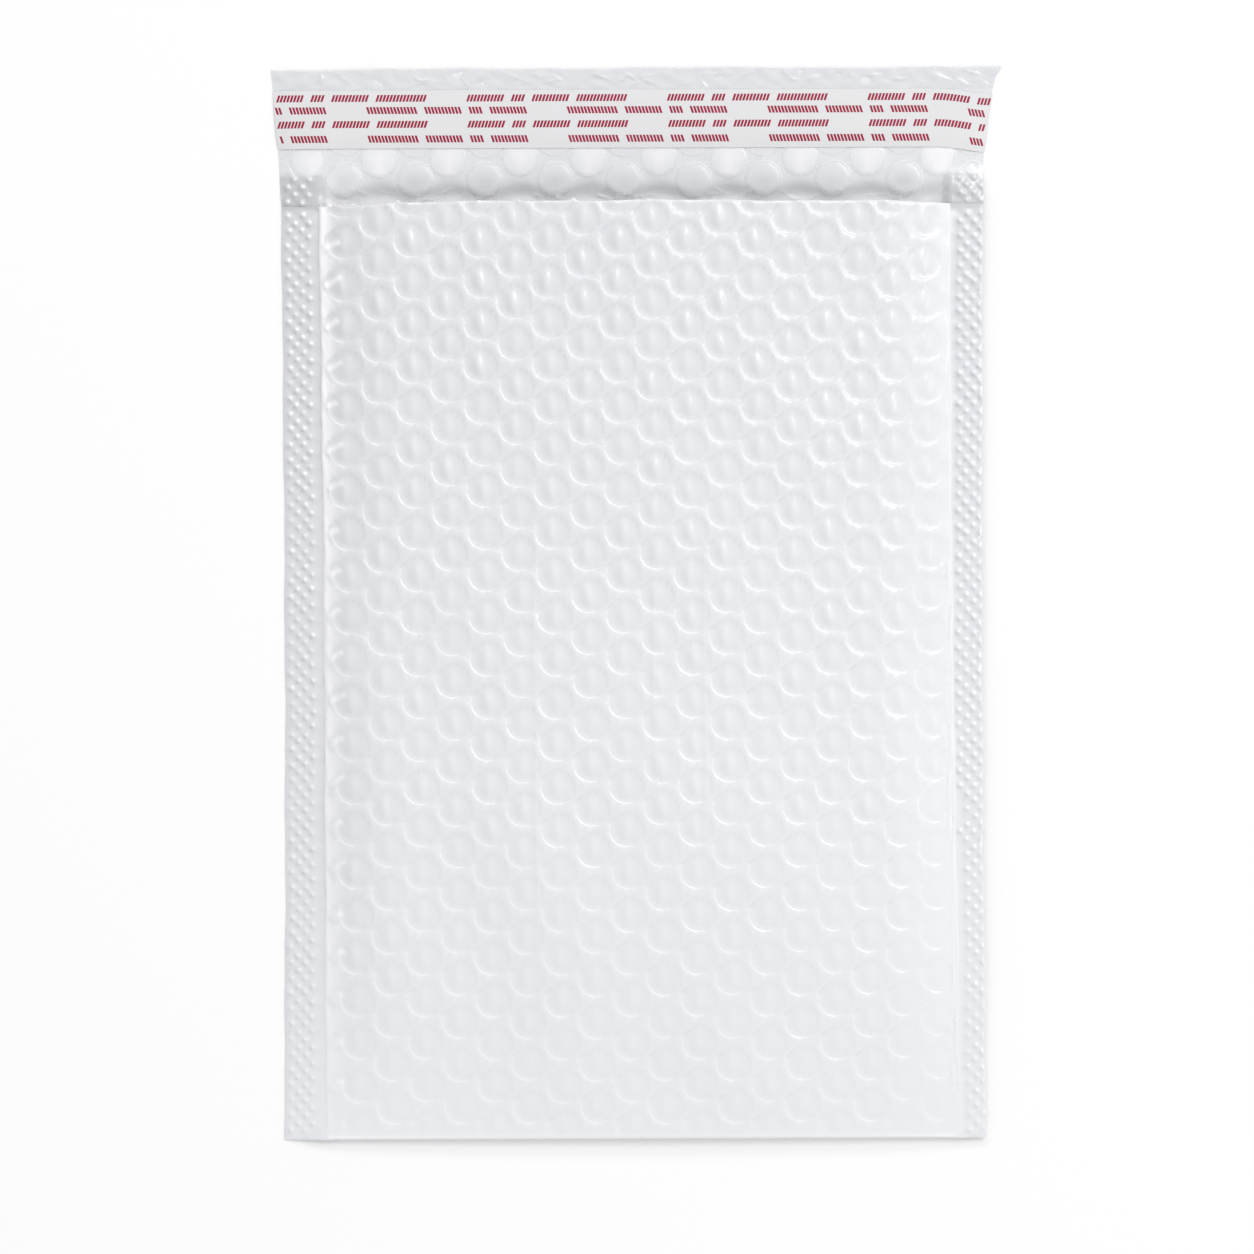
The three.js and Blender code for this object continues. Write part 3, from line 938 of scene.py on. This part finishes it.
bubbleLining = sew("bubbleLining", [liningBack(), liningFront()])
spots = pointsOf(bubbleLining)
at = spotX, spotY = spots[:, 0], spots[:, 1]
bubble, bubbleX, bubbleY = nearest(backCentres, *at)
fromRing = np.abs(np.hypot(bubbleX, bubbleY) - lining["bubbleRadius"])
onRing = (1 - smooth(0.05, 0.3, fromRing)) * (spotY < mouthY + 17) * (1 - inCrease[bubble])
inTail = 0.15 * weldTail(*at) * (spotY > mouthY)
inBand = smooth(32.5, 34.5, spotY - mouthY)
creased = np.clip(crinkles(*at, *lining["creaseCrinkles"]), 0.0, 1.0)
creased = 0.8 * creased * smooth(2.0, 5.0, fromPanelEdge(*at))
markPoints(bubbleLining, "weld", np.max([onRing, inTail, inBand, creased], 0))
print("bubble lining:", len(bubbleLining.data.polygons), "triangles")

# Release liner: a strip across the flap, with four rows of plain hatched dashes
liner = {
    "low": 16.3,  # from the mouth
    "high": 33.0,
    "lift": (0.05, 0.2),  # over the lining, along its edges and in the middle
    "edgeEase": 3.5,
    "uneven": (0.04, 21.0),  # height and size
    "endDrop": 1.5,  # the right end has slipped towards the mouth
    "endLength": 17.0,
    "rows": [30.7, 27.2, 23.2, 19.0],  # from the mouth
    "rowShift": [0.0, -28.6, 0.3, -28.2],  # sideways
    "firstBlock": -47.7,
    "blocks": range(-3, 4),  # from the first one; more than the strip holds
    "blockPitch": 57.2,
    "tickCounts": (11, 4, 11, 15),
    "tickPitch": 0.96,
    "groupGap": 2.4,
    "tickWidth": 0.66,
    "tickHeight": 2.0,
    "tickSlant": 0.32,
    "tickMargin": 0.15,  # none nearer to the cut ends than this
}


def endDrop(x):
    end = float(sideEdge(1, mouthY + 25))
    return -liner["endDrop"] * smooth(end - liner["endLength"], end, x) ** 1.5


def linerHeight(x, y):
    past = y - endDrop(x) - mouthY
    raised = smooth(0.0, liner["edgeEase"], np.minimum(past - liner["low"], liner["high"] - past))
    height, size = liner["uneven"]
    uneven = height * ripple(x, y, size, lining["seed"] + 3)
    return backFace(x, y) + liningBase(x, y) + mix(*liner["lift"], raised) + uneven * raised


def hatchMarks():
    marks = []
    half, wide = liner["tickHeight"] / 2, liner["tickWidth"]
    for number, (row, shift) in enumerate(zip(liner["rows"], liner["rowShift"])):
        turn = 1 if number % 2 == 0 else -1  # every other row runs the other way
        lean = liner["tickSlant"] * turn * half
        y = mouthY + row
        for block in liner["blocks"]:
            x = liner["firstBlock"] + shift + block * liner["blockPitch"]
            for count in liner["tickCounts"][::turn]:
                for _ in range(count):
                    foot, head = x - lean, x + lean
                    footEdge = [(foot, y - half), (foot + wide, y - half)]
                    marks.append(footEdge + [(head + wide, y + half), (head, y + half)])
                    x += liner["tickPitch"]
                x += liner["groupGap"] - liner["tickPitch"] + wide
    return marks


def releaseLiner():
    low, high = mouthY + liner["low"], mouthY + liner["high"]
    columns = np.linspace(0, 1, fineness["linerColumns"])
    rows = np.linspace(low, high, fineness["linerRows"])
    top = crossRow(sideEdge, high, columns)[::-1]
    loop = outlineOf(sideEdge, low, lambda s: sideLine(s, rows)[1:-1], top, columns)
    shapes = []
    for mark in hatchMarks():
        x, y = np.array(mark).T
        if (fromCut(x, y) > liner["tickMargin"]).all():
            shapes.append(mark)
    loose = gridPoints(np.arange(-104, 106, 1.5), np.arange(low + 0.9, high - 0.5, 1.5))
    flat, faces, owners = triangulate(loop, [], inside(loose, low, high, 0.5), shapes)
    inked = [any(owner > 0 for owner in f) for f in owners]
    flat[:, 1] += endDrop(flat[:, 0])
    return np.column_stack([flat, linerHeight(flat[:, 0], flat[:, 1])]), faces, inked


linerPoints, linerFaces, inked = releaseLiner()
releaseLinerPiece = meshPiece("releaseLiner", linerPoints, linerFaces)
releaseLinerPiece.data.polygons.foreach_set("material_index", [1 if i else 0 for i in inked])
print("release liner:", len(linerFaces), "triangles,", sum(inked), "inked")

# Adhesive: a band of hot-melt under the liner
adhesive = {
    "seed": 23,
    "low": 18.8,  # from the mouth
    "high": 30.8,
    "inset": 0.4,  # from the cut ends
    "thickness": 0.05,
    "under": 0.04,  # the liner
    "beads": (0.015, 3.0),  # height and size
}


def adhesiveBand():
    rows = np.linspace(mouthY + adhesive["low"], mouthY + adhesive["high"], fineness["adhesiveRows"])
    columns = np.linspace(0, 1, fineness["adhesiveColumns"])
    inset = adhesive["inset"]
    x = np.array([mix(sideEdge(-1, y) + inset, sideEdge(1, y) - inset, columns) for y in rows]).ravel()
    y = np.repeat(rows, len(columns))
    top = linerHeight(x, y) - adhesive["under"]
    beadHeight, beadSize = adhesive["beads"]
    beads = beadHeight * ripple(x, y, beadSize, adhesive["seed"])
    points = np.concatenate(
        [np.column_stack([x, y, top - adhesive["thickness"]]), np.column_stack([x, y, top + beads])]
    )
    count, width = len(x), len(columns)
    cells = [r * width + c for r in range(len(rows) - 1) for c in range(width - 1)]
    faces = [[a, a + width, a + width + 1, a + 1] for a in cells]
    faces += [[count + a, count + a + 1, count + a + width + 1, count + a + width] for a in cells]
    number = np.arange(count).reshape(len(rows), width)
    rim = [*number[0, :-1], *number[:-1, -1], *number[-1, :0:-1], *number[:0:-1, 0]]
    faces += [[a, b, count + b, count + a] for a, b in zip(rim, rim[1:] + rim[:1])]
    return points, faces


adhesivePiece = meshPiece("adhesiveStrip", *adhesiveBand())
print("adhesive strip:", len(adhesivePiece.data.polygons), "faces")


# Materials: colours are sRGB hex values, made linear for the shaders
def linear(hexCode):
    parts = [int(hexCode[i:i + 2], 16) / 255 for i in (1, 3, 5)]
    return [c / 12.92 if c <= 0.04045 else ((c + 0.055) / 1.055) ** 2.4 for c in parts] + [1.0]


# Adds a node with its inputs, as values or links, and its settings, and gives one of its outputs
def addNode(tree, kind, inputs=None, out=0, **settings):
    node = tree.nodes.new("ShaderNode" + kind)
    for name, value in settings.items():
        setattr(node, name, value)
    for name, value in (inputs or {}).items():
        if isinstance(value, bpy.types.NodeSocket):
            tree.links.new(value, node.inputs[name])
        else:
            node.inputs[name].default_value = value
    return node.outputs[out] if node.outputs else None


# Each material starts with a noise of a real size in the piece's own frame
def startMaterial(name, size, detail=2.0):
    material = bpy.data.materials.new(name)
    material.use_nodes = True
    tree = material.node_tree
    tree.nodes.clear()
    place = addNode(tree, "TexCoord", out="Object")
    noise = addNode(tree, "TexNoise", {"Vector": place, "Scale": 1 / (size * mm), "Detail": detail})
    return material, tree, place, noise


def endMaterial(tree, inputs):
    addNode(tree, "OutputMaterial", {"Surface": addNode(tree, "BsdfPrincipled", inputs)})


# Blown polyethylene film, white pigment: a satin skin with a faint grain
filmLook = {
    "panel": ("#e5e6ea", "#eeeff3"),  # at the mouth and at the bottom: painted lighter towards the bottom, painted light
    # the seals too are painted lighter towards the bottom, painted light
    "seal": ("#dee0e4", "#e9ebef"),
    "inner": "#ecedf0",  # the inner ply, painted paler to lift the shade on the flap
    "tail": "#cfd1d5",  # where the weld runs out on the flap, and painted shade in the crease and under the clear bubbles beside it
    "whiteAndPaintedLight": "#fdfdff",  # white from the heat of the welding bar, and the colour of the painted highlights and painted light
    "roughness": (0.2, 0.26),
    "ior": 1.51,
    "grainSize": 0.9,  # mm
    "grainDepth": 0.008,  # mm
    "cloudSize": 14.0,  # mm
}


def blownFilm():
    material, tree, place, cloud = startMaterial("whitePolyethyleneBlownFilm", filmLook["cloudSize"], 3.0)
    along = addNode(tree, "SeparateXYZ", {"Vector": place}, out="Y")
    # painted light: the panel and seal tints grow lighter from the mouth to the bottom
    paintedLightDown = addNode(tree, "MapRange", {"Value": along, "From Min": mouthY * mm, "From Max": bottomY * mm})
    tints = {name: linear(filmLook[name]) for name in ("inner", "tail", "whiteAndPaintedLight")}
    for name in ("panel", "seal"):
        tight, loose = filmLook[name]
        tints[name] = addNode(tree, "Mix", {
            "Factor": paintedLightDown, 6: linear(tight), 7: linear(loose)}, out=2, data_type="RGBA")
    colour = tints["panel"]
    for name in ("seal", "inner", "tail", "whiteAndPaintedLight"):
        marked = addNode(tree, "Attribute", out="Fac", attribute_name=name)
        colour = addNode(tree, "Mix", {
            "Factor": marked, 6: colour, 7: tints[name]}, out=2, data_type="RGBA")
    low, high = filmLook["roughness"]
    rough = addNode(tree, "MapRange", {"Value": cloud, "To Min": low, "To Max": high})
    grain = addNode(tree, "TexNoise", {
        "Vector": place, "Scale": 1 / (filmLook["grainSize"] * mm), "Detail": 2.0})
    bump = addNode(tree, "Bump", {
        "Height": grain, "Distance": filmLook["grainDepth"] * mm, "Strength": 1.0})
    endMaterial(tree, {"Base Color": colour, "Roughness": rough, "Normal": bump, "IOR": filmLook["ior"]})
    return material


# Clear polyethylene bubble film, vacuum formed: glossy thin domes that show the white film below
liningLook = {
    "clear": "#fafbfc",
    "haze": "#f1f2f5",
    "alpha": (0.06, 0.55),  # of the domes, and of the weld round each of them
    "roughness": (0.14, 0.26),
    "ior": 1.51,
    "mirror": (0.04, 0.6),  # how much it mirrors, seen square on and along it
    "hazeSize": 4.0,  # mm
    "hazeDepth": 0.03,  # mm
}


def clearBubbleFilm():
    material, tree, _, haze = startMaterial("clearPolyethyleneBubbleFilm", liningLook["hazeSize"], 3.0)
    colour = addNode(tree, "Mix", {
        "Factor": haze, 6: linear(liningLook["clear"]), 7: linear(liningLook["haze"])},
        out=2, data_type="RGBA")
    bump = addNode(tree, "Bump", {
        "Height": haze, "Distance": liningLook["hazeDepth"] * mm, "Strength": 1.0})
    weld = addNode(tree, "Attribute", out="Fac", attribute_name="weld")
    rough, alpha = [
        addNode(tree, "MapRange", {
            "Value": value, "To Min": liningLook[name][0], "To Max": liningLook[name][1]})
        for name, value in (("roughness", haze), ("alpha", weld))
    ]
    hazy = addNode(tree, "BsdfPrincipled", {
        "Base Color": colour, "Roughness": rough, "Normal": bump, "IOR": liningLook["ior"]})
    clear = addNode(tree, "BsdfTransparent")
    gloss = addNode(tree, "BsdfGlossy", {"Roughness": rough, "Normal": bump})
    facing = addNode(tree, "LayerWeight", {"Blend": 0.5, "Normal": bump}, out="Facing")
    mirror = addNode(tree, "MapRange", {
        "Value": facing, "From Min": 0.4,
        "To Min": liningLook["mirror"][0], "To Max": liningLook["mirror"][1]},
        interpolation_type="SMOOTHSTEP")
    skin = addNode(tree, "MixShader", {0: mirror, 1: clear, 2: gloss})
    both = addNode(tree, "MixShader", {0: alpha, 1: skin, 2: hazy})
    addNode(tree, "OutputMaterial", {"Surface": both})
    return material


# Two tints in patches of one size, on a smooth skin
def patchyMaterial(name, look):
    material, tree, _, patch = startMaterial(name, look["patchSize"])
    first, second = look["tints"]
    colour = addNode(tree, "Mix", {
        "Factor": patch, 6: linear(first), 7: linear(second)}, out=2, data_type="RGBA")
    endMaterial(tree, {"Base Color": colour, "Roughness": look["roughness"], "IOR": look["ior"]})
    return material


# Siliconed release film: white and smooth, with a dull sheen
linerLook = {"tints": ("#e5e5e6", "#e2e2e4"), "patchSize": 9.0, "roughness": 0.36, "ior": 1.48}
# Crimson ink, flexo printed: thin, worn a little, with the film's own sheen
inkLook = {"tints": ("#940731", "#a51843"), "patchSize": 2.0, "roughness": 0.36, "ior": 1.48}
# Hot-melt adhesive, extruded: milky and a little yellow
adhesiveLook = {"tints": ("#e2dfd2", "#d3cdb8"), "patchSize": 2.5, "roughness": 0.45, "ior": 1.49}
outerFilm.data.materials.append(blownFilm())
bubbleLining.data.materials.append(clearBubbleFilm())
releaseLinerPiece.data.materials.append(patchyMaterial("siliconedReleaseFilm", linerLook))
releaseLinerPiece.data.materials.append(patchyMaterial("crimsonFlexoInk", inkLook))
adhesivePiece.data.materials.append(patchyMaterial("hotMeltAdhesiveExtruded", adhesiveLook))
print("materials made")

# Which piece stands for which solid
for piece, node in (
    (outerFilm, "outer_film"),
    (bubbleLining, "bubble_lining"),
    (releaseLinerPiece, "release_liner"),
    (adhesivePiece, "adhesive_strip"),
):
    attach(piece, "root")
    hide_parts(node)

# Studio: a pale floor, a white room, three soft boxes in an arc from right to top, and a fill
studio = {
    "floor": "#fefefe",
    "floorHalf": 3.0,
    "toothSize": 1.5,  # mm, of the paper
    "toothDepth": 0.004,  # mm
    "roomColour": "#ffffff",
    "roomStrength": 0.602,
    "boxes": {
        "keyBox": {"place": (1.7, 1.76, 2.53), "size": (2.4, 0.96), "watts": 44.0},
        "rightBox": {"place": (3.85, -0.54, 2.07), "size": (2.8, 0.9), "watts": 22.4},
        "topBox": {"place": (-0.68, 3.83, 2.07), "size": (2.8, 0.9), "watts": 36.7},
        "frontFill": {"place": (0.0, -0.75, 0.85), "size": (1.2, 0.6), "watts": 0.7},
    },
    "lens": 100.0,
    "sensor": 36.0,
    "aim": (-0.0027, -0.0068, 0.0035),
    "framed": 0.3568,  # metres across the picture at the seals
    "roll": -0.21,  # degrees
}


# White paper, uncoated: matt, with a faint tooth
def paperSweep():
    material, tree, _, tooth = startMaterial("whitePaperSweep", studio["toothSize"])
    bump = addNode(tree, "Bump", {
        "Height": tooth, "Distance": studio["toothDepth"] * mm, "Strength": 0.5})
    endMaterial(tree, {"Base Color": linear(studio["floor"]), "Roughness": 0.9,
                       "Specular IOR Level": 0.0, "Normal": bump})
    return material


def studioFloor():
    side = studio["floorHalf"]
    corners = [(-side, -side, 0), (side, -side, 0), (side, side, 0), (-side, side, 0)]
    mesh = bpy.data.meshes.new("floor")
    mesh.from_pydata(corners, [], [(0, 1, 2, 3)])
    mesh.materials.append(paperSweep())
    return addObject("floor", mesh)


def softBox(name, plan):
    light = bpy.data.lights.new(name, "AREA")
    light.shape = "RECTANGLE"
    light.size, light.size_y = plan["size"]
    light.energy = plan["watts"]
    lamp = addObject(name, light)
    lamp.location = plan["place"]
    lamp.rotation_euler = (-lamp.location).to_track_quat("-Z", "Y").to_euler()


def studioCamera():
    lens = bpy.data.cameras.new("camera")
    lens.lens = studio["lens"]
    lens.sensor_width = studio["sensor"]
    far = studio["framed"] * studio["lens"] / studio["sensor"]
    camera = addObject("camera", lens)
    camera.location = Vector(studio["aim"]) + Vector((0.0, 0.0, far))
    camera.rotation_euler = (0.0, 0.0, math.radians(studio["roll"]))
    bpy.context.scene.camera = camera


studioFloor()
for boxName, plan in studio["boxes"].items():
    softBox(boxName, plan)
studioCamera()
world = bpy.data.worlds.new("whiteRoom")
world.use_nodes = True
backdrop = world.node_tree.nodes["Background"]
backdrop.inputs["Color"].default_value = linear(studio["roomColour"])
backdrop.inputs["Strength"].default_value = studio["roomStrength"]
bpy.context.scene.world = world
bpy.context.scene.view_settings.view_transform = "Standard"
print("studio set")
